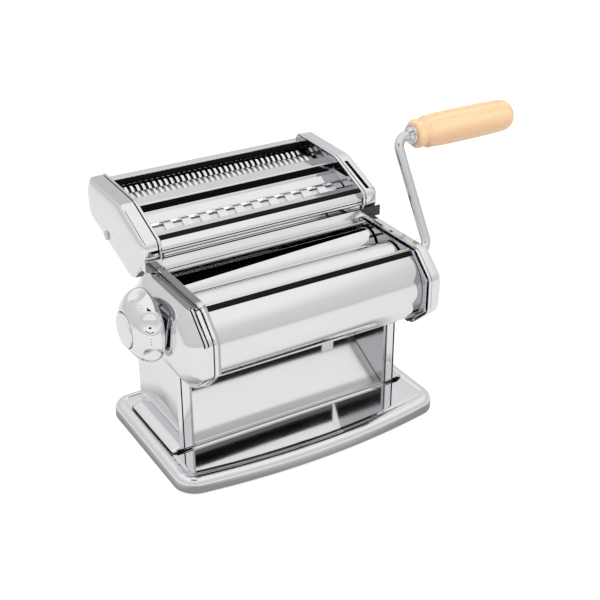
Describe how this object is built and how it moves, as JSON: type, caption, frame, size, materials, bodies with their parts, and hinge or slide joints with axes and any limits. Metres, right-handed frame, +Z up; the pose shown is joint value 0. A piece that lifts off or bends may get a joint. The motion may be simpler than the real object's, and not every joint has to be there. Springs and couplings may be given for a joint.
{
  "type": "pasta roller machine",
  "caption": "Hand-cranked chrome pasta roller on a flat base, with a thickness knob and a clip-on cutter head behind the rollers.",
  "frame": {"origin": "on the table, under the middle of the base", "axes": "+X along the rollers towards the crank, +Y from the feed side towards the cutter head, +Z up"},
  "size_m": [0.3265, 0.1717, 0.1943],
  "materials": {
    "chrome_plated_sheet": "mirror-bright plated sheet steel",
    "polished_roller": "polished and plated steel",
    "crank_steel": "bright plated round bar",
    "plain_steel": "plain cut steel",
    "bush_brass": "plain turned brass",
    "foot_rubber": "matte black rubber",
    "shoe_plastic": "matte black moulded plastic",
    "handle_beech": "turned beech with a thin clear coat"
  },
  "bodies": {
    "frame": {"base_plate": "chrome_plated_sheet", "rubber_feet": "foot_rubber", "base_screws": "plain_steel", "left_side_plate": "plain_steel", "right_side_plate": "plain_steel", "left_leg_cover": "chrome_plated_sheet", "right_leg_cover": "chrome_plated_sheet", "left_end_cap": "chrome_plated_sheet", "right_end_cap": "chrome_plated_sheet", "cap_screws": "plain_steel", "left_rail": "chrome_plated_sheet", "right_rail": "chrome_plated_sheet", "front_cover": "chrome_plated_sheet", "rear_cover": "chrome_plated_sheet", "front_scraper": "plain_steel", "rear_scraper": "plain_steel", "chute": "chrome_plated_sheet", "tie_rods": "plain_steel", "frame_nuts": "plain_steel", "roller_bushes": "bush_brass", "index_plate": "plain_steel"},
    "front_roller": {"front_roller": "polished_roller", "front_gear": "plain_steel"},
    "cradle": {"left_cradle_plate": "plain_steel", "right_cradle_plate": "plain_steel", "cradle_bar": "plain_steel"},
    "rear_roller": {"rear_roller": "polished_roller", "rear_gear": "plain_steel"},
    "adjuster": {"spindle": "plain_steel", "snail_cam": "plain_steel", "knob_spring": "plain_steel"},
    "knob": {"knob": "chrome_plated_sheet", "knob_disc": "chrome_plated_sheet", "index_pin": "plain_steel"},
    "crank": {"crank_bar": "crank_steel", "crank_pin": "crank_steel", "crank_collar": "crank_steel"},
    "handle": {"handle": "handle_beech", "handle_bush": "bush_brass"},
    "cutter_head": {"left_head_cap": "chrome_plated_sheet", "right_head_cap": "chrome_plated_sheet", "left_head_plate": "plain_steel", "right_head_plate": "plain_steel", "head_rear_cover": "chrome_plated_sheet", "head_middle_cover": "chrome_plated_sheet", "head_front_cover": "chrome_plated_sheet", "fine_combs": "plain_steel", "wide_combs": "plain_steel", "head_rods": "plain_steel", "head_screws": "plain_steel", "left_shoe": "shoe_plastic", "right_shoe": "shoe_plastic"},
    "fine_a": {"fine_roller_a": "polished_roller", "fine_gears_a": "plain_steel"},
    "fine_b": {"fine_roller_b": "polished_roller", "fine_gears_b": "plain_steel"},
    "wide_a": {"wide_roller_a": "polished_roller", "wide_gears_a": "plain_steel"},
    "wide_b": {"wide_roller_b": "polished_roller", "wide_gears_b": "plain_steel"}
  },
  "joints": [
    {"name": "front_roller_turn", "type": "hinge", "parent": "frame", "child": "front_roller", "pos_m": [0, -0.0265, 0.1135], "axis": [1, 0, 0], "continuous": true},
    {"name": "crank_pull", "type": "slide", "parent": "front_roller", "child": "crank", "axis": [1, 0, 0], "range_m": [0, 0.045]},
    {"name": "handle_spin", "type": "hinge", "parent": "crank", "child": "handle", "pos_m": [0, 0.01717, 0.18231], "axis": [1, 0, 0], "continuous": true},
    {"name": "spindle_turn", "type": "hinge", "parent": "frame", "child": "adjuster", "pos_m": [0, -0.015, 0.1096], "axis": [-1, 0, 0], "range_deg": [0, 300]},
    {"name": "knob_pull", "type": "slide", "parent": "adjuster", "child": "knob", "axis": [-1, 0, 0], "range_m": [0, 0.005], "stiffness_N_per_m": 1500, "springref_m": -0.004, "deforming": ["knob_spring"]},
    {"name": "cradle_shift", "type": "slide", "parent": "frame", "child": "cradle", "axis": [0, -1, 0], "range_m": [0, 0.002]},
    {"name": "rear_roller_turn", "type": "hinge", "parent": "cradle", "child": "rear_roller", "pos_m": [0, 0.0037, 0.1135], "axis": [1, 0, 0], "continuous": true},
    {"name": "cutter_slide", "type": "slide", "parent": "frame", "child": "cutter_head", "axis": [0, 1, 0], "range_m": [0, 0.07]},
    {"name": "fine_a_turn", "type": "hinge", "parent": "cutter_head", "child": "fine_a", "pos_m": [0, 0.0762, 0.149], "axis": [1, 0, 0], "continuous": true},
    {"name": "fine_b_turn", "type": "hinge", "parent": "cutter_head", "child": "fine_b", "pos_m": [0, 0.0927, 0.1482], "axis": [1, 0, 0], "continuous": true},
    {"name": "wide_b_turn", "type": "hinge", "parent": "cutter_head", "child": "wide_b", "pos_m": [0, 0.0401, 0.1398], "axis": [1, 0, 0], "continuous": true},
    {"name": "wide_a_turn", "type": "hinge", "parent": "cutter_head", "child": "wide_a", "pos_m": [0, 0.0236, 0.1398], "axis": [1, 0, 0], "continuous": true}
  ],
  "couplings": [
    {"joint": "rear_roller_turn", "follows": "front_roller_turn", "ratio": -1},
    {"joint": "cradle_shift", "follows": "spindle_turn", "m_per_rad": 0.00038197},
    {"joint": "fine_b_turn", "follows": "fine_a_turn", "ratio": -1},
    {"joint": "wide_a_turn", "follows": "wide_b_turn", "ratio": -1}
  ]
}
